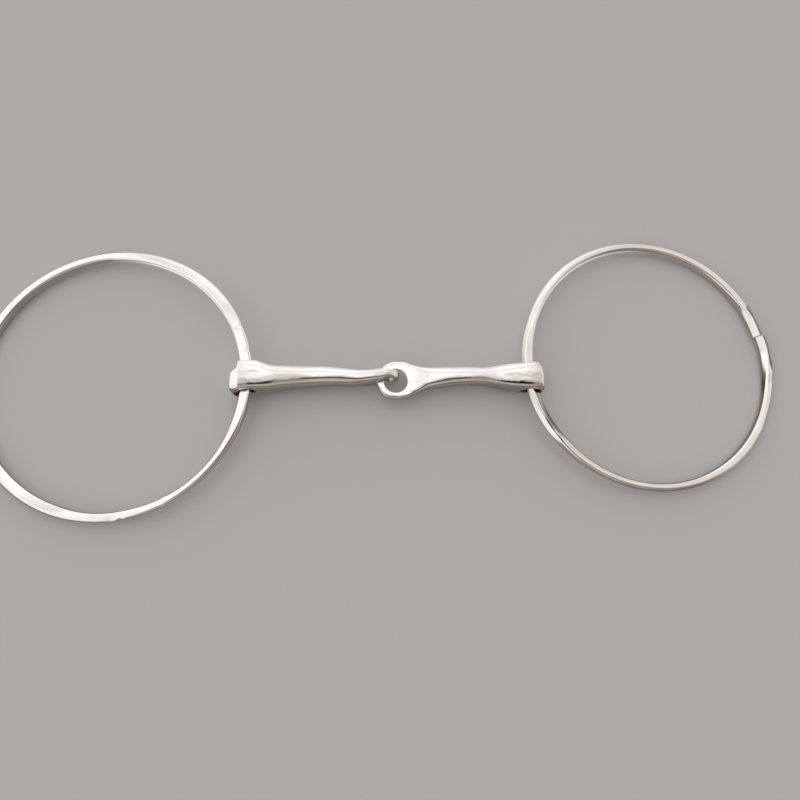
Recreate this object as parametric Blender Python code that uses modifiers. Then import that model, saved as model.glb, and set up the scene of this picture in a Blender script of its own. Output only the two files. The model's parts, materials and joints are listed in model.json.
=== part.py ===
"""A single-jointed loose-ring snaffle bit, laid out flat as on a table.

Four pieces: two forged cannons linked through their eyes, and two large rings of
flat-sided wire, each threaded through the bore in its cannon's butt.

Frame: metres, +Z up, the bit lies on z = 0 with the mouthpiece along X, and the origin is
the middle of the footprint.
"""

import math

import bmesh
import bpy
from mathutils import Matrix, Vector

# Driving dimensions, in metres and degrees.
MOUTH_WIDTH = 0.127  # from ring bore to ring bore, a 5 inch bit
AXIS_HEIGHT = 0.0069  # the mouthpiece's axis above the surface
FOOTPRINT_SHIFT = Vector((0.0003, -0.0032, 0.0))  # puts the origin in the footprint's middle

RING_RADIUS = 0.0584  # to the middle of the wire
WIRE_WIDTH = 0.0045  # across the wire, in the ring's plane
WIRE_THICKNESS = 0.0035  # through the wire, square to the ring's plane
WIRE_CORNER = 0.0010
LEFT_RING_TURN = -1.3  # how far each ring lies turned in its loose bore, seen from above
RIGHT_RING_TURN = 7.7
SEAM_WIDTH = 0.0004
SEAM_DEPTH = 0.0024  # from the inner side of the wire
LEFT_SEAM_ANGLE = 116.0  # round the ring from its outermost point
RIGHT_SEAM_ANGLE = 5.0

BORE_RADIUS = 0.0033
BUTT_HALF_HEIGHT = AXIS_HEIGHT
BUTT_HALF_WIDTH = 0.0064  # half the length of the bore
LEFT_BUTT_REACH = 0.0065  # from the bore's axis to the butt's outer end
RIGHT_BUTT_REACH = 0.0052
BUTT_ROUNDNESS = 3.0  # of the outer end seen from the side, from 2 for an ellipse upward
BUTT_END_NARROWING = 0.0016  # how much the sides draw in at the outer end
BUTT_FLAT_REACH = 0.0055  # how far the ground sides run inward from the bore's axis
BUTT_GRINDING = 0.0002

LEFT_EYE_CENTRE = Vector((-0.0026, 0.0002, 0.0))  # from the middle of the mouthpiece's axis
LEFT_EYE_OUTER = 0.0066
LEFT_EYE_HOLE = 0.0040
LEFT_EYE_HALF_THICKNESS = 0.0021
RIGHT_EYE_CENTRE = Vector((0.0025, -0.0020, 0.0))
RIGHT_EYE_OUTER = 0.0081
RIGHT_EYE_HOLE = 0.0053
RIGHT_EYE_HOLE_SHIFT = Vector((-0.0003, -0.0003, 0.0))  # from the eye's centre
RIGHT_EYE_HALF_THICKNESS = 0.0020
RIGHT_EYE_FLAT_REACH = 0.0075  # how far the ground faces run outward from the eye's centre
RIGHT_EYE_GRINDING = 0.0003

CUTTER_REACH = 0.02  # cutters run this far, well past whatever they cut

# Angles of the lofted sections round a butt's outer end and round the tip of an eye.
BUTT_ANGLES = (10, 20, 32, 45, 60, 75, 90)
LEFT_EYE_ANGLES = (-12, 10, 30, 48, 64, 78)
RIGHT_EYE_ANGLES = (-78, -64, -48, -30, -10, 8)
SHARP_EDGE_ANGLE = 35

# Fineness of the faceted solids.
RING_STEPS = 72
CORNER_STEPS = 3
SECTION_POINTS = 28
STATION_STEPS = 2
HOLE_STEPS = 40

STEEL = (0.80, 0.79, 0.77, 1.0)


def clear_scene():
    for obj in list(bpy.data.objects):
        bpy.data.objects.remove(obj, do_unlink=True)


def new_collection(name):
    collection = bpy.data.collections.new(name)
    bpy.context.scene.collection.children.link(collection)
    return collection


def polished_steel(name):
    material = bpy.data.materials.new(name)
    material.use_nodes = True
    shader = material.node_tree.nodes["Principled BSDF"]
    shader.inputs["Base Color"].default_value = STEEL
    shader.inputs["Metallic"].default_value = 1.0
    shader.inputs["Roughness"].default_value = 0.12
    return material


def add_object(name, mesh, collection):
    obj = bpy.data.objects.new(name, mesh)
    collection.objects.link(obj)
    return obj


def add_pivot(name, place, turn, collection, parent=None):
    """An empty on a joint's axis, which the moving piece hangs from."""
    pivot = bpy.data.objects.new(name, None)
    pivot.empty_display_size = 0.01
    pivot.parent = parent
    pivot.matrix_basis = Matrix.Translation(place) @ turn
    collection.objects.link(pivot)
    return pivot


def cut(obj, cutter):
    cutter.hide_render = True
    cutter.display_type = "WIRE"
    modifier = obj.modifiers.new(cutter.name, "BOOLEAN")
    modifier.operation = "DIFFERENCE"
    modifier.solver = "EXACT"
    modifier.object = cutter


def cylinder_cutter(name, radius, length, place, parent, collection):
    mesh = bpy.data.meshes.new(name)
    form = bmesh.new()
    bmesh.ops.create_cone(
        form, cap_ends=True, segments=HOLE_STEPS, radius1=radius, radius2=radius, depth=length
    )
    form.to_mesh(mesh)
    form.free()
    cutter = add_object(name, mesh, collection)
    cutter.parent = parent
    cutter.matrix_basis = place
    return cutter


def box_cutter(name, low, high, place, parent, collection):
    low, high = Vector(low), Vector(high)
    mesh = bpy.data.meshes.new(name)
    form = bmesh.new()
    bmesh.ops.create_cube(form, size=1.0)
    bmesh.ops.scale(form, vec=high - low, verts=form.verts)
    bmesh.ops.translate(form, vec=(low + high) / 2, verts=form.verts)
    form.to_mesh(mesh)
    form.free()
    cutter = add_object(name, mesh, collection)
    cutter.parent = parent
    cutter.matrix_basis = place
    return cutter


# Rings


def ring_droop():
    """The angle at which a ring slopes from its bore down to the surface."""
    fall = AXIS_HEIGHT - WIRE_THICKNESS / 2
    reach = 2 * RING_RADIUS + WIRE_WIDTH / 2 - WIRE_CORNER
    return math.asin(fall / reach)


def ring_turn(side, turn_degrees):
    """Local X runs from the bore to the ring's centre, local Y along the bore."""
    toward_centre = Matrix.Rotation(0.0 if side > 0 else math.pi, 4, "Z")
    turned = Matrix.Rotation(math.radians(side * turn_degrees), 4, "Z")
    sloped = Matrix.Rotation(ring_droop(), 4, "Y")
    return toward_centre @ turned @ sloped


def wire_outline():
    """The wire's section about the ring's centre, down the outer side and up the inner."""
    half_width = WIRE_WIDTH / 2 - WIRE_CORNER
    half_height = WIRE_THICKNESS / 2 - WIRE_CORNER
    corners = ((1, 1, 90), (1, -1, 0), (-1, -1, -90), (-1, 1, -180))
    points = []
    for x_side, z_side, first in corners:
        for step in range(CORNER_STEPS + 1):
            angle = math.radians(first - 90 * step / CORNER_STEPS)
            x = x_side * half_width + WIRE_CORNER * math.cos(angle)
            z = z_side * half_height + WIRE_CORNER * math.sin(angle)
            points.append((RING_RADIUS + x, 0.0, z))
    return points


def ring(name, pivot, seam_angle, parts, cutters):
    outline = wire_outline()
    count = len(outline)
    mesh = bpy.data.meshes.new(name)
    mesh.from_pydata(outline, [(i, (i + 1) % count) for i in range(count)], [])
    obj = add_object(name, mesh, parts)
    obj.parent = pivot
    # Half a step round, so that a flat facet and not an edge lies at the outermost point.
    half_step = Matrix.Rotation(math.pi / RING_STEPS, 4, "Z")
    obj.matrix_basis = Matrix.Translation((RING_RADIUS, 0.0, 0.0)) @ half_step
    spin = obj.modifiers.new("turn", "SCREW")
    spin.steps = RING_STEPS
    spin.render_steps = RING_STEPS
    spin.use_merge_vertices = True
    spin.merge_threshold = 0.00005
    spin.use_smooth_shade = False
    seam_place = Matrix.Translation((RING_RADIUS, 0.0, 0.0)) @ Matrix.Rotation(
        math.radians(seam_angle), 4, "Z"
    )
    inside = RING_RADIUS - WIRE_WIDTH / 2
    seam = box_cutter(
        f"{name}_seam_cutter",
        (inside - WIRE_WIDTH, -SEAM_WIDTH / 2, -WIRE_THICKNESS),
        (inside + SEAM_DEPTH, SEAM_WIDTH / 2, WIRE_THICKNESS),
        seam_place,
        pivot,
        cutters,
    )
    cut(obj, seam)
    obj.data.materials.append(polished_steel(name))
    return obj


# Cannons. A station is (x, y, half width, half height, squareness): the section's place along
# and across the cannon, its half sizes, and how square it is, from 2 for an ellipse upward.


def butt_stations(reach, side):
    """The barrel round the bore, from its outer end to over the bore."""
    stations = []
    for angle in BUTT_ANGLES:
        out = math.cos(math.radians(angle)) ** (2 / BUTT_ROUNDNESS)
        height = BUTT_HALF_HEIGHT * math.sin(math.radians(angle)) ** (2 / BUTT_ROUNDNESS)
        narrowing = BUTT_END_NARROWING * max(0.0, out - 0.7) / 0.3
        stations.append((side * reach * out, 0.0, BUTT_HALF_WIDTH - narrowing, height, 5.0))
    return stations


def section(station):
    """Points round one section, as a superellipse."""
    x, y, half_width, half_height, squareness = station
    points = []
    for step in range(SECTION_POINTS):
        angle = 2 * math.pi * (step + 0.5) / SECTION_POINTS
        c, s = math.cos(angle), math.sin(angle)
        across = math.copysign(abs(c) ** (2 / squareness), c)
        up = math.copysign(abs(s) ** (2 / squareness), s)
        points.append(Vector((x, y + half_width * across, half_height * up)))
    return points


def smoothed(stations):
    """More stations on a Catmull-Rom curve through the given ones."""
    last = len(stations) - 1
    result = []
    for i in range(last):
        around = [Vector(stations[min(max(i + k, 0), last)]) for k in (-1, 0, 1, 2)]
        before, here, after, beyond = around
        for step in range(STATION_STEPS):
            t = step / STATION_STEPS
            value = (
                here * 2
                + (after - before) * t
                + (before * 2 - here * 5 + after * 4 - beyond) * t**2
                + (here * 3 - before - after * 3 + beyond) * t**3
            )
            result.append(tuple(value / 2))
    result.append(tuple(stations[last]))
    return result


def loft(name, stations, collection):
    """A closed solid through sections that change from squared to round to flat."""
    form = bmesh.new()
    rows = [[form.verts.new(p) for p in section(s)] for s in smoothed(stations)]
    for row, following in zip(rows, rows[1:]):
        for i in range(SECTION_POINTS):
            j = (i + 1) % SECTION_POINTS
            form.faces.new((row[i], row[j], following[j], following[i]))
    form.faces.new(rows[0])
    form.faces.new(rows[-1])
    bmesh.ops.recalc_face_normals(form, faces=form.faces)
    mesh = bpy.data.meshes.new(name)
    form.to_mesh(mesh)
    form.free()
    obj = add_object(name, mesh, collection)
    mesh.set_sharp_from_angle(angle=math.radians(SHARP_EDGE_ANGLE))
    obj.data.materials.append(polished_steel(name))
    return obj


def left_stations():
    """From the butt's outer end to the tip of the upright eye, about the left bore."""
    stations = butt_stations(LEFT_BUTT_REACH, -1)
    stations += [
        (0.0045, 0.0000, 0.0064, 0.0067, 4.6),
        (0.0085, -0.0005, 0.0059, 0.0063, 3.8),
        (0.0115, -0.0008, 0.0055, 0.0060, 3.2),
        (0.0160, -0.0007, 0.0052, 0.0057, 2.8),
        (0.0230, -0.0004, 0.0048, 0.0053, 2.6),
        (0.0310, -0.0002, 0.0045, 0.0049, 2.4),
        (0.0375, -0.0002, 0.0043, 0.0046, 2.3),
        (0.0455, -0.0006, 0.0039, 0.0045, 2.3),
        (0.0515, -0.0006, 0.0035, 0.0051, 2.5),
        (0.0560, -0.0003, 0.0029, 0.0059, 2.8),
    ]
    eye_x = MOUTH_WIDTH / 2 + LEFT_EYE_CENTRE.x
    eye_y = LEFT_EYE_CENTRE.y
    for angle in LEFT_EYE_ANGLES:
        x = eye_x + LEFT_EYE_OUTER * math.sin(math.radians(angle))
        height = LEFT_EYE_OUTER * math.cos(math.radians(angle))
        rounding = 0.0008 * max(0.0, (angle - 30) / 48) ** 2
        stations.append((x, eye_y, LEFT_EYE_HALF_THICKNESS - rounding, height, 3.0))
    return stations


def right_stations():
    """From the tip of the flat eye to the butt's outer end, about the flat eye's centre."""
    stations = []
    for angle in RIGHT_EYE_ANGLES:
        x = RIGHT_EYE_OUTER * math.sin(math.radians(angle))
        width = RIGHT_EYE_OUTER * math.cos(math.radians(angle))
        stations.append((x, 0.0, width, RIGHT_EYE_HALF_THICKNESS + RIGHT_EYE_GRINDING, 7.0))
    stations += [
        (0.0042, 0.0001, 0.0078, 0.0024, 6.0),
        (0.0072, 0.0002, 0.0068, 0.0026, 5.0),
        (0.0108, 0.0004, 0.0057, 0.0030, 4.0),
        (0.0145, 0.0009, 0.0049, 0.0036, 3.2),
        (0.0195, 0.0013, 0.0046, 0.0041, 2.8),
        (0.0265, 0.0018, 0.0043, 0.0044, 2.6),
        (0.0345, 0.0019, 0.0041, 0.0045, 2.5),
        (0.0400, 0.0018, 0.0040, 0.0047, 2.5),
        (0.0450, 0.0018, 0.0047, 0.0052, 2.7),
        (0.0500, 0.0018, 0.0054, 0.0060, 3.1),
        (0.0555, 0.0019, 0.0061, 0.0066, 3.8),
    ]
    bore_x = MOUTH_WIDTH / 2 - RIGHT_EYE_CENTRE.x
    bore_y = -RIGHT_EYE_CENTRE.y
    for station in reversed(butt_stations(RIGHT_BUTT_REACH, 1)):
        stations.append((station[0] + bore_x, bore_y, *station[2:]))
    return stations


def bore(obj, name, place, turn_degrees, pivot, cutters):
    """The hole through the butt that the ring runs in."""
    lying = Matrix.Rotation(math.radians(turn_degrees), 4, "Z") @ Matrix.Rotation(math.pi / 2, 4, "X")
    placed = Matrix.Translation(place) @ lying
    cut(obj, cylinder_cutter(name, BORE_RADIUS, CUTTER_REACH, placed, pivot, cutters))


def grind_butt(obj, name, place, pivot, cutters):
    """Flat ground faces on both sides of the butt, where the bore comes out."""
    for side, label in ((1, "far"), (-1, "near")):
        edges = sorted((side * (BUTT_HALF_WIDTH - BUTT_GRINDING), side * CUTTER_REACH))
        flat = box_cutter(
            f"{name}_{label}_flat_cutter",
            (-CUTTER_REACH, edges[0], -CUTTER_REACH),
            (BUTT_FLAT_REACH, edges[1], CUTTER_REACH),
            Matrix.Translation(place),
            pivot,
            cutters,
        )
        cut(obj, flat)


def left_cannon(pivot, parts, cutters):
    obj = loft("left_cannon", left_stations(), parts)
    obj.parent = pivot
    bore(obj, "left_bore_cutter", Vector(), -LEFT_RING_TURN, pivot, cutters)
    grind_butt(obj, "left_butt", Vector(), pivot, cutters)
    eye = LEFT_EYE_CENTRE + Vector((MOUTH_WIDTH / 2, 0.0, 0.0))
    lying = Matrix.Translation(eye) @ Matrix.Rotation(math.pi / 2, 4, "X")
    hole = cylinder_cutter("left_eye_cutter", LEFT_EYE_HOLE, CUTTER_REACH, lying, pivot, cutters)
    cut(obj, hole)
    return obj


def right_cannon(pivot, parts, cutters):
    obj = loft("right_cannon", right_stations(), parts)
    obj.parent = pivot
    butt = Vector((MOUTH_WIDTH / 2, 0.0, 0.0)) - RIGHT_EYE_CENTRE
    bore(obj, "right_bore_cutter", butt, RIGHT_RING_TURN, pivot, cutters)
    turned_over = Matrix.Rotation(math.pi, 4, "Z")
    butt_pivot = add_pivot("right_butt_place", butt, turned_over, cutters, pivot)
    grind_butt(obj, "right_butt", Vector(), butt_pivot, cutters)
    hole_place = Matrix.Translation(RIGHT_EYE_HOLE_SHIFT)
    hole = cylinder_cutter(
        "right_eye_cutter", RIGHT_EYE_HOLE, CUTTER_REACH, hole_place, pivot, cutters
    )
    cut(obj, hole)
    for side, label in ((1, "upper"), (-1, "lower")):
        edges = sorted((side * RIGHT_EYE_HALF_THICKNESS, side * CUTTER_REACH))
        flat = box_cutter(
            f"right_eye_{label}_flat_cutter",
            (-CUTTER_REACH, -CUTTER_REACH, edges[0]),
            (RIGHT_EYE_FLAT_REACH, CUTTER_REACH, edges[1]),
            Matrix(),
            pivot,
            cutters,
        )
        cut(obj, flat)
    return obj


def build():
    clear_scene()
    parts = new_collection("snaffle_bit")
    cutters = new_collection("cutters")
    middle = FOOTPRINT_SHIFT + Vector((0.0, 0.0, AXIS_HEIGHT))
    half = Vector((MOUTH_WIDTH / 2, 0.0, 0.0))
    left_end = add_pivot("left_cannon_place", middle - half, Matrix(), parts)
    joint = add_pivot("centre_joint_axis", middle + RIGHT_EYE_CENTRE, Matrix(), parts)
    left_swing = add_pivot(
        "left_ring_axis", middle - half, ring_turn(-1, LEFT_RING_TURN), parts
    )
    right_swing = add_pivot(
        "right_ring_axis", middle + half, ring_turn(1, RIGHT_RING_TURN), parts
    )
    left_cannon(left_end, parts, cutters)
    right_cannon(joint, parts, cutters)
    ring("left_ring", left_swing, LEFT_SEAM_ANGLE, parts, cutters)
    ring("right_ring", right_swing, RIGHT_SEAM_ANGLE, parts, cutters)


build()
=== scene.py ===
"""A polished single-jointed loose-ring snaffle bit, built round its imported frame.

Each of the four pieces is a dense mesh that stands for its CAD solid. The rings are sweeps of a
flat-sided wire that twists a little as it goes round, with two real ends at the seam. The cannons
are lofts from a round-ended butt along a shank to a linked eye. Their holes are cut, and then they
are remeshed and smoothed so that every edge is softly rounded, as polishing leaves it.
"""

import json
import math

import bmesh
import bpy
import numpy as np
from mathutils import Matrix, Vector, noise


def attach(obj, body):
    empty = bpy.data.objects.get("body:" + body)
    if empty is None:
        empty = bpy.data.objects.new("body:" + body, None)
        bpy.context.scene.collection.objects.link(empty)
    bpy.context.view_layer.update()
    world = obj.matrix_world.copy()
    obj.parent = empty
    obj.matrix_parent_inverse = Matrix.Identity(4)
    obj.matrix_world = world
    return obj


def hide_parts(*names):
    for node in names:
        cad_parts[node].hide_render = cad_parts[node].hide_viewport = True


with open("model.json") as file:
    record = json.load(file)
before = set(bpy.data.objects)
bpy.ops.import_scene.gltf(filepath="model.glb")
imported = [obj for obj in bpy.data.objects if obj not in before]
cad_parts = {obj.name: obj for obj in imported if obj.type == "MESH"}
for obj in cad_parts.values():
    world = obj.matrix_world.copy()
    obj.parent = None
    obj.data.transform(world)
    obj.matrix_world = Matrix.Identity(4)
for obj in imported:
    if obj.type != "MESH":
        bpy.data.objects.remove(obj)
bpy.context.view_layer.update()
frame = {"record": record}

MM = 0.001

# Where the CAD model has its bores and its middle joint.
JOINTS = {joint["name"]: joint for joint in frame["record"]["behaviour"]["joints"]}
LEFT_BORE = Vector(JOINTS["left_ring_swing"]["pos_m"])
RIGHT_BORE = Vector(JOINTS["right_ring_swing"]["pos_m"])
FLAT_EYE = Vector(JOINTS["centre_joint"]["pos_m"])
AXIS_HEIGHT = LEFT_BORE.z


# Camera and stage. The camera looks down, a little from the near side and from the left.


SENSOR_WIDTH = 36.0  # millimetres
LENS = 23.8  # millimetres
CAMERA_TURN = Vector((-0.2057, 0.0600, 0.0092))  # an axis, as long as its angle in radians
CAMERA_PLACE = Vector((4.23, -10.51, 236.5))  # millimetres along the camera's own axes
CLIP_START, CLIP_END = 0.01, 20.0  # metres

FLOOR_SIZE = (8.0, 8.0)
FLOOR_COLOR = (0.55, 0.535, 0.53, 1.0)
BACKDROP_COLOR = (0.46, 0.45, 0.445, 1.0)
CARD_SIZE = (0.30, 0.06)
CARD_BEHIND_CAMERA = 0.006
CARD_COLOR = (0.030, 0.022, 0.016, 1.0)

# Rows are: a place across or along the floor, in metres, and the light that the metal gets there.
FLOOR_ACROSS = [
    (-0.100, (0.30, 0.275, 0.25)),
    (-0.035, (0.27, 0.245, 0.22)),
    (-0.018, (0.16, 0.145, 0.13)),
    (-0.006, (0.13, 0.118, 0.11)),
    (0.004, (0.60, 0.585, 0.57)),
    (0.015, (0.85, 0.83, 0.82)),
    (0.100, (0.90, 0.885, 0.87)),
]
FLOOR_ALONG = [
    (-0.200, (0.22, 0.21, 0.20)),
    (-0.130, (0.26, 0.25, 0.24)),
    (-0.105, (1.10, 1.09, 1.08)),
    (0.000, (1.00, 1.00, 1.00)),
    (0.100, (1.00, 1.00, 1.00)),
    (0.130, (0.34, 0.32, 0.30)),
    (0.200, (0.26, 0.245, 0.23)),
]
# The floor on the near side is at least this bright, however far along it is.
FLOOR_NEAR = [
    (-0.100, (0.24, 0.225, 0.21)),
    (-0.020, (0.20, 0.185, 0.17)),
    (-0.010, (0.16, 0.148, 0.136)),
    (0.000, (0.00, 0.00, 0.00)),
    (0.100, (0.00, 0.00, 0.00)),
]

# Rows are: a direction's component, from -1 to 1, and the light that comes from there.
LIGHT_ACROSS = [
    (-1.00, (0.46, 0.42, 0.38)),
    (-0.70, (0.46, 0.42, 0.38)),
    (-0.36, (0.32, 0.29, 0.265)),
    (-0.12, (0.42, 0.40, 0.38)),
    (-0.03, (0.66, 0.64, 0.625)),
    (0.05, (0.74, 0.725, 0.71)),
    (0.14, (1.10, 1.09, 1.08)),
    (0.42, (1.08, 1.07, 1.06)),
    (0.51, (0.87, 0.86, 0.85)),
    (0.57, (0.87, 0.86, 0.85)),
    (0.68, (1.08, 1.07, 1.06)),
    (1.00, (1.10, 1.09, 1.08)),
]
LIGHT_ALONG = [
    (-1.00, (1.10, 1.10, 1.10)),
    (-0.25, (1.00, 1.00, 1.00)),
    (-0.05, (1.10, 1.10, 1.10)),
    (0.12, (1.10, 1.10, 1.10)),
    (0.35, (0.86, 0.845, 0.83)),
    (0.60, (0.78, 0.755, 0.735)),
    (0.80, (0.80, 0.77, 0.75)),
    (1.00, (0.92, 0.89, 0.87)),
]
LIGHT_UP = [
    (-1.00, (0.50, 0.48, 0.47)),
    (0.00, (0.50, 0.48, 0.47)),
    (0.03, (0.28, 0.25, 0.22)),
    (0.14, (0.26, 0.23, 0.20)),
    (0.30, (0.50, 0.48, 0.46)),
    (0.45, (0.95, 0.94, 0.93)),
    (0.60, (1.00, 1.00, 1.00)),
    (1.00, (1.00, 1.00, 1.00)),
]
# From these directions along the object, the light is at least this bright.
LIGHT_AT_ENDS = [
    (-1.00, (0.80, 0.785, 0.77)),
    (-0.93, (0.94, 0.925, 0.91)),
    (-0.82, (1.02, 1.01, 1.00)),
    (-0.50, (1.02, 1.01, 1.00)),
    (-0.40, (0.84, 0.83, 0.82)),
    (-0.30, (0.00, 0.00, 0.00)),
    (0.70, (0.00, 0.00, 0.00)),
    (0.85, (0.42, 0.39, 0.37)),
    (1.00, (0.85, 0.82, 0.80)),
]
DIM_BELOW_Y = -0.35  # the light is dim low down only on the near side


def make_camera():
    data = bpy.data.cameras.new("photo_camera")
    data.sensor_width = SENSOR_WIDTH
    data.lens = LENS
    data.clip_start = CLIP_START
    data.clip_end = CLIP_END
    camera = bpy.data.objects.new("photo_camera", data)
    bpy.context.collection.objects.link(camera)
    turn = Matrix.Rotation(CAMERA_TURN.length, 3, CAMERA_TURN.normalized()).transposed()
    middle = (LEFT_BORE + RIGHT_BORE) / 2
    place = middle + turn @ (CAMERA_PLACE * MM)
    camera.matrix_world = Matrix.Translation(place) @ turn.to_4x4()
    bpy.context.scene.camera = camera
    return camera


def place_parts(tree, kind):
    """The X, Y and Z of one kind of texture coordinate."""
    place = tree.nodes.new("ShaderNodeTexCoord")
    split = tree.nodes.new("ShaderNodeSeparateXYZ")
    tree.links.new(place.outputs[kind], split.inputs[0])
    return split.outputs


def color_ramp(tree, value, rows):
    """Colours along a range of values, from (value, colour) rows."""
    low, high = rows[0][0], rows[-1][0]
    scaled = tree.nodes.new("ShaderNodeMapRange")
    scaled.inputs["From Min"].default_value = low
    scaled.inputs["From Max"].default_value = high
    tree.links.new(value, scaled.inputs["Value"])
    ramp = tree.nodes.new("ShaderNodeValToRGB")
    elements = ramp.color_ramp.elements
    for element, (place, color) in zip((elements[0], elements[1]), (rows[0], rows[-1])):
        element.position = (place - low) / (high - low)
        element.color = (*color, 1.0)
    for place, color in rows[1:-1]:
        elements.new((place - low) / (high - low)).color = (*color, 1.0)
    tree.links.new(scaled.outputs[0], ramp.inputs["Fac"])
    return ramp.outputs["Color"]


def blended(tree, how, first, second):
    """Two colours put together all over by one blend mode."""
    mix = tree.nodes.new("ShaderNodeMix")
    mix.data_type = "RGBA"
    mix.blend_type = how
    mix.inputs[0].default_value = 1.0
    tree.links.new(first, mix.inputs[6])
    tree.links.new(second, mix.inputs[7])
    return mix.outputs[2]


def calculated(tree, operation, first, second):
    """A sum with a node's output and either another output or a fixed number."""
    node = tree.nodes.new("ShaderNodeMath")
    node.operation = operation
    tree.links.new(first, node.inputs[0])
    if isinstance(second, float):
        node.inputs[1].default_value = second
    else:
        tree.links.new(second, node.inputs[1])
    return node.outputs[0]


def by_ray(tree, kind, shader, other):
    """One shader for a kind of ray, and another for every other kind."""
    path = tree.nodes.new("ShaderNodeLightPath")
    mix = tree.nodes.new("ShaderNodeMixShader")
    tree.links.new(path.outputs[kind], mix.inputs[0])
    tree.links.new(other.outputs[0], mix.inputs[1])
    tree.links.new(shader.outputs[0], mix.inputs[2])
    return mix.outputs[0]


def stage_plane(name, size, place, material):
    mesh = bpy.data.meshes.new(name)
    form = bmesh.new()
    bmesh.ops.create_grid(form, x_segments=1, y_segments=1, size=0.5)
    bmesh.ops.scale(form, vec=(size[0], size[1], 1.0), verts=form.verts)
    form.to_mesh(mesh)
    form.free()
    plane = bpy.data.objects.new(name, mesh)
    plane.matrix_world = place
    bpy.context.collection.objects.link(plane)
    mesh.materials.append(material)
    return plane


def floor_material():
    """A pale floor. What the metal reflects of it is dim on the near side and at both ends."""
    material = bpy.data.materials.new("pale_floor")
    material.use_nodes = True
    tree = material.node_tree
    tree.nodes.clear()
    output = tree.nodes.new("ShaderNodeOutputMaterial")
    seen = tree.nodes.new("ShaderNodeBsdfDiffuse")
    seen.inputs["Color"].default_value = FLOOR_COLOR
    reflected = tree.nodes.new("ShaderNodeEmission")
    place = place_parts(tree, "Object")
    across = color_ramp(tree, place["Y"], FLOOR_ACROSS)
    along = color_ramp(tree, place["X"], FLOOR_ALONG)
    near = color_ramp(tree, place["Y"], FLOOR_NEAR)
    both = blended(tree, "MULTIPLY", across, along)
    tree.links.new(blended(tree, "LIGHTEN", both, near), reflected.inputs["Color"])
    surface = by_ray(tree, "Is Glossy Ray", reflected, seen)
    tree.links.new(surface, output.inputs["Surface"])
    return material


def dark_material():
    material = bpy.data.materials.new("dark_card")
    material.use_nodes = True
    shader = material.node_tree.nodes["Principled BSDF"]
    shader.inputs["Base Color"].default_value = CARD_COLOR
    shader.inputs["Roughness"].default_value = 1.0
    shader.inputs["Specular IOR Level"].default_value = 0.0
    return material


def make_floor():
    stage_plane("floor", FLOOR_SIZE, Matrix.Identity(4), floor_material())


def make_camera_card(camera):
    """The dark shape of the camera, which the metal reflects as thin dark lines."""
    behind = camera.matrix_world @ Matrix.Translation((0.0, 0.0, CARD_BEHIND_CAMERA))
    card = stage_plane("camera_card", CARD_SIZE, behind, dark_material())
    card.visible_camera = False
    card.visible_diffuse = False
    card.visible_shadow = False


def make_studio_light():
    """A soft white dome, bright overhead, far off and at both ends, and dim on the near side."""
    world = bpy.data.worlds.new("studio")
    world.use_nodes = True
    tree = world.node_tree
    tree.nodes.clear()
    output = tree.nodes.new("ShaderNodeOutputWorld")
    studio = tree.nodes.new("ShaderNodeBackground")
    place = place_parts(tree, "Generated")
    across = color_ramp(tree, place["Y"], LIGHT_ACROSS)
    along = color_ramp(tree, place["X"], LIGHT_ALONG)
    ends = color_ramp(tree, place["X"], LIGHT_AT_ENDS)
    beyond = calculated(tree, "SUBTRACT", place["Y"], DIM_BELOW_Y)
    only_beyond = calculated(tree, "MAXIMUM", beyond, 0.0)
    raised = calculated(tree, "ADD", place["Z"], only_beyond)
    up = color_ramp(tree, raised, LIGHT_UP)
    dome = blended(tree, "MULTIPLY", blended(tree, "MULTIPLY", across, along), up)
    tree.links.new(blended(tree, "LIGHTEN", dome, ends), studio.inputs["Color"])
    plain = tree.nodes.new("ShaderNodeBackground")
    plain.inputs["Color"].default_value = BACKDROP_COLOR
    surface = by_ray(tree, "Is Camera Ray", plain, studio)
    tree.links.new(surface, output.inputs["Surface"])
    bpy.context.scene.world = world
    bpy.context.scene.view_settings.view_transform = "Standard"


# Steel.


# Fine marks: how fine the noise is, and how far it is squeezed along each axis.
STREAKS = (900.0, (0.04, 1.0, 1.0))
HATCH = (1400.0, (1.0, 0.08, 0.08))
CLOUDS = (90.0, (1.0, 1.0, 1.0))
NOISE_DETAIL = 3.0
STREAK_BUMP = (0.25, 0.00004)  # strength, and height in metres
HATCH_BUMP = (0.20, 0.00003)

# The cloudy patches: how much darker the dark ones are, and how rough the dark and light ones.
CLOUD_SHADE = (0.93, 0.90, 0.88)
CLOUD_SHADE_RANGE = (0.38, 0.66)
CLOUD_ROUGHNESS = (0.07, 0.16)
CLOUD_ROUGHNESS_RANGE = (0.35, 0.70)

CANNON_TINT = (0.90, 0.885, 0.87)
LEFT_RING_TINT = (0.92, 0.905, 0.89)
RIGHT_RING_TINT = (0.90, 0.875, 0.855)

# Painted dark spots: painted shade at the bore mouths, and painted dark reflection lines on a
# ring.
PAINTED_DARK_COLOR = (0.10, 0.065, 0.045, 1.0)
PAINTED_DARK_ROUGHNESS = (0.45, 0.45, 0.45, 1.0)
PAINTED_DARK_CORE = 0.7  # the part of a spot's radius inside which it is solid


def mixed(tree, factor, first, second):
    """A colour that goes from the first to a fixed second one."""
    mix = tree.nodes.new("ShaderNodeMix")
    mix.data_type = "RGBA"
    tree.links.new(factor, mix.inputs[0])
    tree.links.new(first, mix.inputs[6])
    mix.inputs[7].default_value = second
    return mix.outputs[2]


def scaled_place(tree, place, scale):
    mapping = tree.nodes.new("ShaderNodeMapping")
    mapping.inputs["Scale"].default_value = scale
    tree.links.new(place, mapping.inputs["Vector"])
    return mapping.outputs[0]


def noise_value(tree, place, fineness, squeeze):
    texture = tree.nodes.new("ShaderNodeTexNoise")
    texture.inputs["Scale"].default_value = fineness
    texture.inputs["Detail"].default_value = NOISE_DETAIL
    tree.links.new(scaled_place(tree, place, squeeze), texture.inputs["Vector"])
    return texture.outputs["Fac"]


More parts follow.
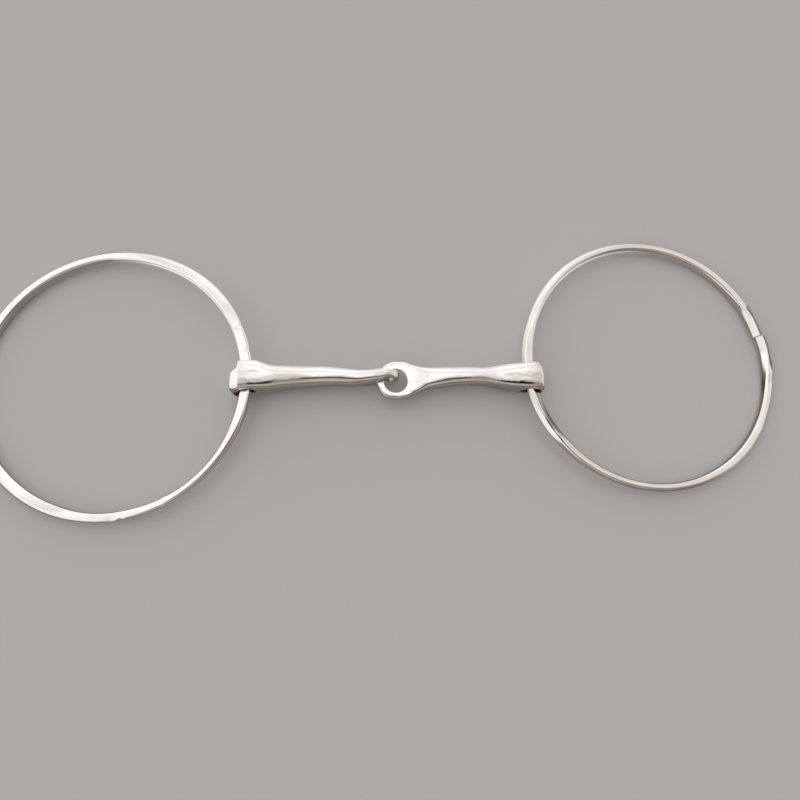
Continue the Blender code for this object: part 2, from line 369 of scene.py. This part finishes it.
def two_colors(tree, value, span, first, second):
    """The first colour below the span of values and the second above it."""
    ramp = tree.nodes.new("ShaderNodeValToRGB")
    for element, place, color in zip(ramp.color_ramp.elements, span, (first, second)):
        element.position = place
        element.color = (*color, 1.0)
    tree.links.new(value, ramp.inputs["Fac"])
    return ramp.outputs["Color"]


def spot_factor(tree, place, middle, radius, length):
    """1 inside a spot and 0 outside it, with a soft edge. The spot is longer along X."""
    squash = (1.0 / length, 1.0, 1.0)
    reach = tree.nodes.new("ShaderNodeVectorMath")
    reach.operation = "DISTANCE"
    tree.links.new(scaled_place(tree, place, squash), reach.inputs[0])
    reach.inputs[1].default_value = Vector(middle) * Vector(squash)
    fade = tree.nodes.new("ShaderNodeMapRange")
    fade.inputs["From Min"].default_value = radius * MM
    fade.inputs["From Max"].default_value = radius * PAINTED_DARK_CORE * MM
    tree.links.new(reach.outputs["Value"], fade.inputs["Value"])
    return fade.outputs[0]


def bumped(tree, height, bump, normal=None):
    node = tree.nodes.new("ShaderNodeBump")
    node.inputs["Strength"].default_value, node.inputs["Distance"].default_value = bump
    tree.links.new(height, node.inputs["Height"])
    if normal is not None:
        tree.links.new(normal, node.inputs["Normal"])
    return node.outputs[0]


def steel_material(name, tint, along_wire=False, start=0.0, dull=(), painted_dark=()):
    """Polished metal with fine marks, cloudy patches, dull stretches and painted dark spots.

    Dull rows are (distance along the piece from its start in millimetres, roughness). Painted dark
    rows are (middle of the spot, its radius in millimetres, how many times longer it is along X);
    they are painted shade at the bore mouths and painted dark reflection lines on a ring.
    """
    material = bpy.data.materials.new(name)
    material.use_nodes = True
    tree = material.node_tree
    shader = tree.nodes["Principled BSDF"]
    shader.inputs["Metallic"].default_value = 1.0
    if along_wire:
        source = tree.nodes.new("ShaderNodeAttribute")
        source.attribute_name = "wire_place"
        place = source.outputs["Vector"]
    else:
        place = tree.nodes.new("ShaderNodeTexCoord").outputs["Object"]

    clouds = noise_value(tree, place, *CLOUDS)
    shade = tuple(part * darker for part, darker in zip(tint, CLOUD_SHADE))
    smooth, coarse = ((value,) * 3 for value in CLOUD_ROUGHNESS)
    color = two_colors(tree, clouds, CLOUD_SHADE_RANGE, shade, tint)
    rough = two_colors(tree, clouds, CLOUD_ROUGHNESS_RANGE, smooth, coarse)
    if dull:
        split = tree.nodes.new("ShaderNodeSeparateXYZ")
        tree.links.new(place, split.inputs[0])
        rows = [(start + x * MM, (value,) * 3) for x, value in dull]
        stretches = color_ramp(tree, split.outputs["X"], rows)
        rough = blended(tree, "LIGHTEN", rough, stretches)
    # Each painted dark spot darkens the colour, as painted shade or as a painted dark reflection.
    for spot in painted_dark:
        factor = spot_factor(tree, place, *spot)
        color = mixed(tree, factor, color, PAINTED_DARK_COLOR)
        rough = mixed(tree, factor, rough, PAINTED_DARK_ROUGHNESS)
    tree.links.new(color, shader.inputs["Base Color"])
    tree.links.new(rough, shader.inputs["Roughness"])
    streaked = bumped(tree, noise_value(tree, place, *STREAKS), STREAK_BUMP)
    hatched = bumped(tree, noise_value(tree, place, *HATCH), HATCH_BUMP, streaked)
    tree.links.new(hatched, shader.inputs["Normal"])
    return material


# Shared geometry.


def clamped(value):
    return min(1.0, max(0.0, value))


def curve_point(before, here, after, beyond, t):
    """A point on a smooth curve, going from here to after as t goes from 0 to 1."""
    return (
        here * 2
        + (after - before) * t
        + (before * 2 - here * 5 + after * 4 - beyond) * t**2
        + (here * 3 - before - after * 3 + beyond) * t**3
    ) / 2


def linked_object(name, form):
    """Turns the form into an object and puts it in the scene."""
    mesh = bpy.data.meshes.new(name)
    form.to_mesh(mesh)
    form.free()
    obj = bpy.data.objects.new(name, mesh)
    bpy.context.collection.objects.link(obj)
    return obj


def skinned(name, form, rows):
    """Joins rows of vertices into one closed surface, with a flat face at each end."""
    for row, following in zip(rows, rows[1:]):
        for i in range(len(row)):
            j = (i + 1) % len(row)
            form.faces.new((row[i], row[j], following[j], following[i]))
    form.faces.new(rows[0])
    form.faces.new(rows[-1])
    bmesh.ops.recalc_face_normals(form, faces=form.faces)
    return linked_object(name, form)


# Rings. Sizes are in millimetres, and a ring's own angle is in degrees, counted from its outermost
# point towards the far side, +Y. "Across" in the wire is away from the ring's middle.


RING_RADIUS = 58.4
WIRE_REACH = 2.25  # from the middle of the wire to the outside of the CAD ring
WIRE_HALF_HEIGHT = 1.75
RESTS_INSIDE = 1.0  # the ring rests on the ground this far inside its outer edge
GROUND_CLEARANCE = 0.02
RING_STEPS = 900
WIRE_POINTS = 40
SHARP_ANGLE = 50
END_STEP_SPREAD = 9
MARK_REACH = 2.5  # in spreads, and past it a mark has faded out
MARK_FULL_FROM = 1.5  # from the middle of the wire outwards, a mark has its full depth

# Rows are: angle, wire width, wire height, corner radius, twist in degrees, radius change.
LEFT_WIRE = [
    (0, 4.3, 3.4, 1.2, 8, 0.00),
    (40, 4.1, 3.4, 1.2, 4, 0.00),
    (75, 4.0, 3.4, 1.3, 8, 0.10),
    (90, 3.9, 3.4, 1.3, 6, 0.30),
    (105, 4.4, 3.5, 1.2, -6, 0.05),
    (135, 4.9, 3.5, 1.0, -12, 0.00),
    (160, 4.8, 3.5, 1.0, -8, 0.00),
    (180, 4.6, 3.5, 1.0, 0, 0.00),
    (200, 4.3, 3.6, 1.1, 14, 0.15),
    (215, 3.6, 3.6, 1.2, 20, 0.30),
    (232, 3.4, 3.6, 1.2, 18, 0.30),
    (243, 3.6, 3.5, 1.2, 12, 0.25),
    (255, 4.0, 3.5, 1.2, 4, 0.10),
    (270, 3.8, 3.4, 1.2, 0, 0.00),
    (280, 4.0, 3.4, 1.2, 6, 0.00),
    (290, 4.5, 3.4, 1.0, 20, 0.00),
    (315, 4.6, 3.4, 0.9, 30, 0.00),
    (340, 4.4, 3.4, 1.0, 20, 0.00),
]
RIGHT_WIRE = [
    (0, 4.3, 3.6, 0.8, -33, 0.95),
    (14, 4.3, 3.6, 0.8, -32, 0.60),
    (21, 4.2, 3.6, 1.0, -20, 0.35),
    (31, 4.1, 3.6, 1.1, -2, 0.10),
    (45, 4.0, 3.6, 1.2, 0, 0.00),
    (75, 4.0, 3.5, 1.5, 0, -0.25),
    (90, 4.0, 3.5, 1.6, -4, -0.35),
    (105, 4.0, 3.5, 1.6, -8, -0.50),
    (125, 4.0, 3.6, 1.5, -14, -0.45),
    (152, 4.0, 3.6, 1.4, -12, -0.30),
    (165, 4.2, 3.6, 1.2, 6, 0.10),
    (180, 4.3, 3.6, 0.8, 30, 0.40),
    (196, 4.4, 3.6, 0.7, 37, 0.50),
    (206, 4.3, 3.6, 0.8, 36, 0.35),
    (216, 4.1, 3.6, 1.1, 27, 0.15),
    (228, 3.9, 3.5, 1.4, 14, 0.05),
    (245, 3.8, 3.4, 1.6, 6, -0.05),
    (265, 3.7, 3.4, 1.6, 4, -0.05),
    (285, 3.9, 3.4, 1.5, 4, 0.00),
    (300, 4.1, 3.4, 1.3, 6, 0.20),
    (318, 3.9, 3.4, 1.3, 10, 0.35),
    (329, 3.6, 3.3, 1.3, 14, 0.45),
    (338, 3.8, 3.3, 1.2, -2, 0.60),
    (346, 4.1, 3.5, 1.1, -18, 0.80),
    (353, 4.3, 3.6, 0.9, -28, 0.90),
]

# Each seam: its angle, its gap, and how far the ends past it and before it stand out.
LEFT_SEAM = (-116.0, 0.04, 0.05, 0.0)
RIGHT_SEAM = (5.3, 0.35, -1.0, 0.0)

# Dents and lumps. Rows are: angle, spread, outer (1) or inner (-1) side, depth, depth of the top.
LEFT_MARKS = [
    (-94.5, 1.8, 1, -0.25, 0.25),
    (-98.2, 1.0, 1, 0.2, 0.0),
    (-116.4, 1.3, -1, -0.25, 0.0),
    (-115.2, 1.6, 1, -0.45, 0.1),
    (157, 1.1, 1, 0.4, 0.25),
    (168, 1.1, 1, 0.35, 0.25),
]
RIGHT_MARKS = [
    (-4, 1.6, 1, 0.3, 0.15),
    (-15, 1.6, 1, 0.2, 0.1),
]

# Painted dark reflection lines along the wire's edge. Rows are: angle, across and up in the wire,
# radius, stretch.
RIGHT_PAINTED_REFLECTIONS = [
    (203, 2.1, 1.7, 0.55, 10.0),
    (211, 2.0, 1.75, 0.5, 8.0),
    (221, 1.95, 1.7, 0.4, 9.0),
]


def periodic(table, angle):
    """A smooth closed curve through (angle, value, value, ...) rows, read at one angle."""
    count = len(table)
    angle = angle % 360
    index = max(i for i in range(count) if table[i][0] <= angle)
    rows = [np.array(table[(index + k) % count][1:], float) for k in (-1, 0, 1, 2)]
    start = table[index][0]
    end = table[(index + 1) % count][0] + (360 if index == count - 1 else 0)
    return curve_point(*rows, (angle - start) / (end - start))


def wire_section(width, height, corner):
    """Points round a rounded rectangle, evenly spread over its corners."""
    half_width, half_height = width / 2 - corner, height / 2 - corner
    per_side = WIRE_POINTS // 4
    points = []
    for quarter, (x_side, y_side) in enumerate(((1, 1), (-1, 1), (-1, -1), (1, -1))):
        for step in range(per_side):
            angle = math.radians(90 * (quarter + step / (per_side - 1)))
            x = x_side * half_width + corner * math.cos(angle)
            y = y_side * half_height + corner * math.sin(angle)
            points.append((x, y))
    return points


def marked(a, b, angle, marks):
    """Moves a point of the wire's section, across a and up b, by the marks near that angle."""
    for mark_angle, spread, side, depth, top_depth in marks:
        away = ((angle - mark_angle + 180) % 360 - 180) / spread
        if abs(away) < MARK_REACH and a * side > 0:
            strength = math.exp(-away * away) * min(1.0, abs(a) / MARK_FULL_FROM)
            a -= side * depth * strength
            b -= top_depth * strength if b > 0 else 0.0
    return a, b


def ring_axes(bore, axis):
    """Directions outward along the drooping ring, across to the far side, and up."""
    across = Vector(axis)
    if across.y < 0:
        across.negate()
    flat = Vector((across.y, -across.x, 0.0))
    if flat.x * bore.x < 0:
        flat.negate()
    fall = AXIS_HEIGHT / MM - WIRE_HALF_HEIGHT
    droop = math.asin(fall / (2 * RING_RADIUS + WIRE_REACH - RESTS_INSIDE))
    outward = flat * math.cos(droop) - Vector((0.0, 0.0, math.sin(droop)))
    up = flat * math.sin(droop) + Vector((0.0, 0.0, math.cos(droop)))
    return outward, across, up


def make_ring(name, joint, table, seam, marks, tint, painted_reflections=()):
    """Sweeps the wire round from just past the seam to just before it, and closes both ends."""
    seam_angle, seam_gap, *end_steps = seam
    bore = Vector(JOINTS[joint]["pos_m"])
    outward, across, up = ring_axes(bore, JOINTS[joint]["axis"])
    centre = bore + outward * RING_RADIUS * MM
    gap = math.degrees(seam_gap / RING_RADIUS)
    first, last = seam_angle + gap / 2, seam_angle + 360 - gap / 2
    form = bmesh.new()
    place_layer = form.verts.layers.float_vector.new("wire_place")
    rows = []
    for step in range(RING_STEPS + 1):
        angle = first + (last - first) * step / RING_STEPS
        width, height, corner, twist, wander = periodic(table, angle)
        for end_step, away in zip(end_steps, (angle - first, last - angle)):
            wander += end_step * math.exp(-((away / END_STEP_SPREAD) ** 2))
        cosine, sine = math.cos(math.radians(twist)), math.sin(math.radians(twist))
        radial = outward * math.cos(math.radians(angle)) + across * math.sin(math.radians(angle))
        along = RING_RADIUS * math.radians(angle - first) * MM
        middle = centre + radial * (RING_RADIUS + wander) * MM
        section = wire_section(width, height, corner)
        lowest = min(b * cosine + a * sine for a, b in section)
        lift = max(0.0, -(middle.z / MM + lowest) + GROUND_CLEARANCE)
        row = []
        for a, b in section:
            a, b = marked(a, b, angle, marks)
            r = a * cosine - b * sine
            h = b * cosine + a * sine + lift
            vertex = form.verts.new(middle + radial * r * MM + up * h * MM)
            vertex[place_layer] = (along, a * MM, b * MM)
            row.append(vertex)
        rows.append(row)
    obj = skinned(name, form, rows)
    obj.data.shade_smooth()
    obj.data.set_sharp_from_angle(angle=math.radians(SHARP_ANGLE))
    # Painted dark reflection lines, placed along the wire.
    painted_dark = []
    for angle, a, b, radius, length in painted_reflections:
        along = RING_RADIUS * math.radians((angle - first) % 360)
        painted_dark.append((Vector((along, a, b)) * MM, radius, length))
    obj.data.materials.append(steel_material(name, tint, along_wire=True, painted_dark=painted_dark))
    return obj


# Cannons. Sizes are in millimetres. The left one is measured from its bore, and the right one from
# its flat eye. The left butt is on side -1 and the right butt on side 1.


BORE_RADIUS = 3.3
BUTT_HALF_HEIGHT = 6.9
LOFT_POINTS = 96
LOFT_STEPS = 6
CUTTER_LENGTH = 40
CUTTER_SIDES = 160
VOXEL = 0.2

UPRIGHT_EYE_FROM_BORE = Vector((60.9, 0.2, 0.0))
UPRIGHT_EYE_OUTER = 6.6
UPRIGHT_EYE_HOLE = 4.2
UPRIGHT_EYE_HALF_WIDTH = 2.15
UPRIGHT_EYE_ANGLES = (-12, 0, 10, 20, 30, 40, 50, 60, 70, 79)  # from its top, in degrees
UPRIGHT_EYE_SQUARENESS = 4.5
# It narrows towards its tip, and flares to meet the shank. Each is: how far, from which angle, and
# over how many degrees.
TIP_NARROWING = (0.8, 30, 48)
SHANK_FLARE = (0.4, 10, 22)

FLAT_EYE_OUTER = 8.55
FLAT_EYE_HOLE = 5.15
FLAT_EYE_HOLE_SHIFT = Vector((-0.3, -0.5, 0.0))
FLAT_EYE_HALF_HEIGHT = 2.0
FLAT_EYE_SPARE_HEIGHT = 0.05  # the polishing takes this off again
FLAT_EYE_ANGLES = (-78, -70, -62, -54, -45, -35, -22, -10, 6)  # from its widest place
FLAT_EYE_SQUARENESS = 8.0
# How far the flat eye's near side bulges past the circle, at which angle, and over how much.
NEAR_FULLNESS = 0.5
NEAR_FULLNESS_ANGLE = -38
NEAR_FULLNESS_SPREAD = 20

# The lip at the near mouth of each bore, and the bulge of each butt's end.
LIP_REACH = 1.3
LIP_OUTWARD = 3.0
LIP_SPREAD = 2.4
LIP_TOP = 4.0
LIP_HEIGHT = 6.0
BARREL_BULGE = {-1: 0.8, 1: 1.2}
BARREL_START = 1.0
BARREL_RUN = 3.0

# How steeply the near half of each cannon's top falls away, and how softly that begins. It is
# complete this far above the axis, and it comes in where the cannon is this thick.
TOP_FALL = 0.11
TOP_FALL_START = 1.2
TOP_FALL_SOFTNESS = 1.6
TOP_FALL_HEIGHT = 4
TOP_FALL_MIN_HALF_HEIGHT = 4
TOP_FALL_RUN = 2

# How each cannon is smoothed: how strongly, in how many rounds, in how many near its eye, and how
# near that is.
SMOOTHING_STRENGTH = 0.6
SMOOTHING = 5
EYE_SMOOTHING = 8
UPRIGHT_EYE_REACH = 9.5
FLAT_EYE_REACH = 0.0

# The unevenness of hand polishing. Rows are: height, how fine along and round, and a shift.
WAVES = (0.075, 0.11, 0.35, 0.0)
RIPPLES = (0.018, 0.45, 0.8, 9.0)
POLISHED_AWAY = 0.06

# The part worn off the far outer corner of the left butt: its outline at the top, its half height,
# and how far it leans out at the bottom.
WORN_CORNER = ((-1.4, 12.0), (-2.0, 2.7), (-5.6, -0.3), (-20.0, -6.0), (-20.0, 12.0))
WORN_HALF_HEIGHT = 9.0
WORN_LEAN = 5.4

# A station is: x, far edge, near edge, half height, far squareness, near squareness.
LEFT_STATIONS = [
    (-5.75, -1.2, -5.6, 4.6, 5.5, 6.5),
    (-5.55, 0.6, -6.6, 5.3, 5.5, 6.5),
    (-5.0, 2.4, -6.9, 5.65, 5.5, 7.0),
    (-3.9, 4.6, -7.0, 6.15, 5.5, 7.5),
    (-2.55, 6.0, -6.9, 6.75, 5.5, 7.5),
    (-2.2, 6.3, -6.8, 6.88, 5.0, 7.5),
    (0.0, 6.6, -6.6, 6.9, 4.2, 7.5),
    (2.2, 6.7, -6.5, 6.85, 4.0, 7.5),
    (4.5, 6.6, -6.4, 6.7, 3.8, 7.5),
    (6.4, 6.1, -6.4, 6.55, 3.6, 6.5),
    (8.5, 5.4, -6.45, 6.3, 3.2, 5.5),
    (11.0, 4.75, -6.35, 6.05, 2.9, 4.6),
    (15.8, 4.5, -5.8, 5.7, 2.6, 3.6),
    (22.0, 4.4, -5.3, 5.3, 2.4, 3.0),
    (30.0, 4.4, -4.8, 4.9, 2.3, 2.5),
    (37.0, 4.2, -4.45, 4.6, 2.2, 2.4),
    (41.5, 3.8, -4.45, 4.5, 2.2, 2.4),
    (46.0, 3.3, -4.5, 4.5, 2.2, 2.4),
    (49.0, 2.95, -4.35, 4.7, 2.3, 2.6),
    (52.0, 2.8, -4.15, 5.1, 2.5, 2.8),
    (55.2, 2.75, -3.6, 5.6, 3.0, 3.4),
]
RIGHT_STATIONS = [
    (4.2, 8.3, -8.0, 2.1, 7.5, 7.5),
    (7.2, 7.15, -6.8, 2.3, 6.5, 6.5),
    (10.8, 6.2, -5.2, 2.8, 4.4, 4.8),
    (14.5, 5.9, -4.05, 3.6, 3.0, 3.2),
    (19.5, 6.0, -3.25, 4.1, 2.5, 2.8),
    (26.5, 6.15, -2.5, 4.4, 2.3, 2.5),
    (34.5, 6.1, -2.2, 4.5, 2.3, 2.6),
    (40.0, 5.95, -2.2, 4.7, 2.4, 3.2),
    (45.0, 6.6, -2.85, 5.2, 2.6, 5.0),
    (50.0, 7.3, -3.6, 6.0, 2.9, 7.5),
    (55.5, 7.7, -4.2, 6.6, 3.4, 8.0),
    (59.0, 7.9, -4.4, 6.85, 4.0, 8.0),
    (61.0, 8.0, -4.5, 6.9, 4.4, 8.0),
    (62.8, 7.8, -4.6, 6.85, 5.0, 7.5),
    (64.0, 6.8, -4.65, 6.6, 5.5, 6.5),
    (64.8, 5.1, -4.6, 6.1, 5.5, 6.0),
    (65.2, 3.2, -4.3, 5.5, 5.5, 5.5),
    (65.35, 1.9, -3.7, 4.9, 5.5, 5.5),
]

# Where each cannon is dull. Rows are: x, roughness.
LEFT_DULL = [
    (-8, 0.26),
    (1, 0.26),
    (3, 0.05),
    (10, 0.05),
    (13, 0.30),
    (23, 0.30),
    (28, 0.05),
    (50, 0.05),
    (54, 0.22),
    (70, 0.22),
]
RIGHT_DULL = [
    (-10, 0.05),
    (6, 0.05),
    (9, 0.20),
    (14, 0.20),
    (17, 0.05),
    (30, 0.05),
    (34, 0.32),
    (44, 0.32),
    (47.5, 0.05),
    (59, 0.05),
    (61.5, 0.26),
    (70, 0.26),
]

# Painted shade: dark spots by the near mouth of each bore. Rows are: place from the bore, radius.
LEFT_PAINTED_SHADE = [((-2.5, -8.6, -1.2), 4.0), ((2.0, -7.6, -1.5), 3.2)]
RIGHT_PAINTED_SHADE = [((1.5, -6.9, -0.6), 3.6), ((-2.5, -6.9, -2.0), 2.6)]


def lip(x, z, bore_x, side):
    """How far the near side stands out low down, just outward of the bore."""
    along = math.exp(-(((x - bore_x - side * LIP_OUTWARD) / LIP_SPREAD) ** 2))
    down = clamped((LIP_TOP - z) / LIP_HEIGHT)
    return LIP_REACH * along * down * down * (3 - 2 * down)


def barrel(x, z, bore_x, side):
    """How far the butt's outer end bulges at mid height."""
    outward = clamped((side * (x - bore_x) - BARREL_START) / BARREL_RUN)
    return side * BARREL_BULGE[side] * outward * (1 - (z / BUTT_HALF_HEIGHT) ** 2)


def top_fall(y, z):
    """How far the top surface drops towards the near side."""
    past = TOP_FALL_START - y
    soft = math.hypot(past, TOP_FALL_SOFTNESS)
    return TOP_FALL * (past + soft) / 2 * clamped(z / TOP_FALL_HEIGHT)


def smoothed(stations, steps):
    """Stations on a smooth curve through the given ones."""
    last = len(stations) - 1
    result = []
    for i in range(last):
        rows = [Vector(stations[min(max(i + k, 0), last)]) for k in (-1, 0, 1, 2)]
        result += [curve_point(*rows, step / steps) for step in range(steps)]
    result.append(Vector(stations[last]))
    return result


def loft_object(name, stations, origin, bore_x, side):
    form = bmesh.new()
    rows = []
    for x, far, near, half_height, *squarenesses in smoothed(stations, LOFT_STEPS):
        thick = clamped((half_height - TOP_FALL_MIN_HALF_HEIGHT) / TOP_FALL_RUN)
        row = []
        for step in range(LOFT_POINTS):
            angle = 2 * math.pi * (step + 0.5) / LOFT_POINTS
            c, s = math.cos(angle), math.sin(angle)
            squareness = squarenesses[0] if c > 0 else squarenesses[1]
            across = math.copysign(abs(c) ** (2 / squareness), c)
            height = math.copysign(abs(s) ** (2 / squareness), s)
            y = (far + near) / 2 + (far - near) / 2 * across
            z = half_height * height
            z -= top_fall(y - (far + near) / 2, z) * thick
            if across < 0:
                y += across * lip(x, z, bore_x, side)
            point = Vector((x + barrel(x, z, bore_x, side), y, z))
            row.append(form.verts.new(origin + point * MM))
        rows.append(row)
    return skinned(name, form, rows)


def cylinder_cutter(radius, place, direction):
    form = bmesh.new()
    bmesh.ops.create_cone(
        form,
        cap_ends=True,
        segments=CUTTER_SIDES,
        radius1=radius * MM,
        radius2=radius * MM,
        depth=CUTTER_LENGTH * MM,
    )
    cutter = linked_object("cutter", form)
    turn = direction.to_track_quat("Z", "Y").to_matrix().to_4x4()
    cutter.matrix_world = Matrix.Translation(place) @ turn
    return cutter


def worn_corner_cutter():
    """Takes the far outer corner off the left butt, leaning so that the bore keeps its wall."""
    form = bmesh.new()
    rows = []
    for height, lean in ((WORN_HALF_HEIGHT, 0.0), (-WORN_HALF_HEIGHT, WORN_LEAN)):
        corners = [LEFT_BORE + Vector((x - lean, y, height)) * MM for x, y in WORN_CORNER]
        rows.append([form.verts.new(corner) for corner in corners])
    return skinned("cutter", form, rows)


def cut_and_remesh(obj, cutters):
    """Cuts the holes and the worn corner, then remakes the surface as small even faces."""
    for cutter in cutters:
        modifier = obj.modifiers.new("cut", "BOOLEAN")
        modifier.operation = "DIFFERENCE"
        modifier.solver = "EXACT"
        modifier.object = cutter
    remesh = obj.modifiers.new("even", "REMESH")
    remesh.mode = "VOXEL"
    remesh.voxel_size = VOXEL * MM
    remesh.use_smooth_shade = True
    bpy.context.view_layer.update()
    graph = bpy.context.evaluated_depsgraph_get()
    mesh = bpy.data.meshes.new_from_object(obj.evaluated_get(graph))
    obj.modifiers.clear()
    obj.data = mesh
    for cutter in cutters:
        bpy.data.objects.remove(cutter, do_unlink=True)


def unevenness(spot, height, along, around, shift):
    """How far the surface waves in or out at one spot, in millimetres."""
    return height * noise.noise(
        Vector((spot.x * along, spot.y * around, spot.z * around + shift))
    )


def soften(obj, eye_place, eye_reach):
    """Rounds the edges, more near the eye, and leaves the unevenness of hand polishing."""
    mesh = obj.data
    count = len(mesh.vertices)
    points = np.empty(count * 3)
    mesh.vertices.foreach_get("co", points)
    points = points.reshape(-1, 3)
    edges = np.empty(len(mesh.edges) * 2, int)
    mesh.edges.foreach_get("vertices", edges)
    starts, ends = edges.reshape(-1, 2).T
    degree = np.bincount(edges, minlength=count)[:, None]
    near_eye = np.linalg.norm(points - np.array(eye_place), axis=1) < eye_reach * MM
    for step in range(EYE_SMOOTHING):
        total = np.zeros_like(points)
        for axis in range(3):
            total[:, axis] = np.bincount(starts, points[ends, axis], count)
            total[:, axis] += np.bincount(ends, points[starts, axis], count)
        moved = (total / degree - points) * SMOOTHING_STRENGTH
        if step < SMOOTHING:
            points += moved
        else:
            points[near_eye] += moved[near_eye]
    mesh.vertices.foreach_set("co", points.ravel())
    mesh.update()
    normals = np.empty(count * 3)
    mesh.vertices.foreach_get("normal", normals)
    normals = normals.reshape(-1, 3)
    for i in range(count):
        spot = Vector(points[i]) * 1000  # in millimetres
        rise = unevenness(spot, *WAVES) + unevenness(spot, *RIPPLES) - POLISHED_AWAY
        points[i] += normals[i] * rise * MM
    mesh.vertices.foreach_set("co", points.ravel())
    mesh.update()
    mesh.shade_smooth()


def spots(bore, rows):
    return [(bore + Vector(offset) * MM, radius, 1.0) for offset, radius in rows]


def make_left_cannon():
    stations = list(LEFT_STATIONS)
    narrowing, narrows_from, narrows_over = TIP_NARROWING
    flaring, flares_from, flares_over = SHANK_FLARE
    for angle in UPRIGHT_EYE_ANGLES:
        x = UPRIGHT_EYE_FROM_BORE.x + UPRIGHT_EYE_OUTER * math.sin(math.radians(angle))
        height = UPRIGHT_EYE_OUTER * math.cos(math.radians(angle))
        narrower = narrowing * max(0.0, (angle - narrows_from) / narrows_over) ** 2
        flare = flaring * max(0.0, (flares_from - angle) / flares_over)
        width = UPRIGHT_EYE_HALF_WIDTH - narrower
        far = UPRIGHT_EYE_FROM_BORE.y + width + flare
        near = UPRIGHT_EYE_FROM_BORE.y - width - 2 * flare
        squareness = UPRIGHT_EYE_SQUARENESS
        stations.append((x, far, near, height, squareness, squareness))
    obj = loft_object("left_cannon_body", stations, LEFT_BORE, 0.0, -1)
    eye = LEFT_BORE + UPRIGHT_EYE_FROM_BORE * MM
    cutters = [
        cylinder_cutter(BORE_RADIUS, LEFT_BORE, Vector(JOINTS["left_ring_swing"]["axis"])),
        cylinder_cutter(UPRIGHT_EYE_HOLE, eye, Vector((0.0, 1.0, 0.0))),
        worn_corner_cutter(),
    ]
    cut_and_remesh(obj, cutters)
    soften(obj, eye, UPRIGHT_EYE_REACH)
    steel = steel_material(
        "left_cannon_steel",
        CANNON_TINT,
        start=LEFT_BORE.x,
        dull=LEFT_DULL,
        # painted shade at the near mouth of the bore
        painted_dark=spots(LEFT_BORE, LEFT_PAINTED_SHADE),
    )
    obj.data.materials.append(steel)
    return obj


def make_right_cannon():
    stations = []
    for angle in FLAT_EYE_ANGLES:
        x = FLAT_EYE_OUTER * math.sin(math.radians(angle))
        width = FLAT_EYE_OUTER * math.cos(math.radians(angle))
        away = (angle - NEAR_FULLNESS_ANGLE) / NEAR_FULLNESS_SPREAD
        full = NEAR_FULLNESS * math.exp(-(away**2))
        height = FLAT_EYE_HALF_HEIGHT + FLAT_EYE_SPARE_HEIGHT
        squareness = FLAT_EYE_SQUARENESS
        stations.append((x, width, -width - full, height, squareness, squareness))
    stations += RIGHT_STATIONS
    bore_x = (RIGHT_BORE - FLAT_EYE).x / MM
    obj = loft_object("right_cannon_body", stations, FLAT_EYE, bore_x, 1)
    hole = FLAT_EYE + FLAT_EYE_HOLE_SHIFT * MM
    cutters = [
        cylinder_cutter(BORE_RADIUS, RIGHT_BORE, Vector(JOINTS["right_ring_swing"]["axis"])),
        cylinder_cutter(FLAT_EYE_HOLE, hole, Vector((0.0, 0.0, 1.0))),
    ]
    cut_and_remesh(obj, cutters)
    soften(obj, FLAT_EYE, FLAT_EYE_REACH)
    steel = steel_material(
        "right_cannon_steel",
        CANNON_TINT,
        start=FLAT_EYE.x,
        dull=RIGHT_DULL,
        # painted shade at the near mouth of the bore
        painted_dark=spots(RIGHT_BORE, RIGHT_PAINTED_SHADE),
    )
    obj.data.materials.append(steel)
    return obj


camera = make_camera()
make_floor()
make_camera_card(camera)
make_studio_light()

PIECES = {
    "left_cannon": make_left_cannon(),
    "right_cannon": make_right_cannon(),
    "left_ring": make_ring(
        "left_ring_wire", "left_ring_swing", LEFT_WIRE, LEFT_SEAM, LEFT_MARKS, LEFT_RING_TINT
    ),
    "right_ring": make_ring(
        "right_ring_wire",
        "right_ring_swing",
        RIGHT_WIRE,
        RIGHT_SEAM,
        RIGHT_MARKS,
        RIGHT_RING_TINT,
        RIGHT_PAINTED_REFLECTIONS,
    ),
}
for node, piece in PIECES.items():
    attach(piece, node)
    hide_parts(node)
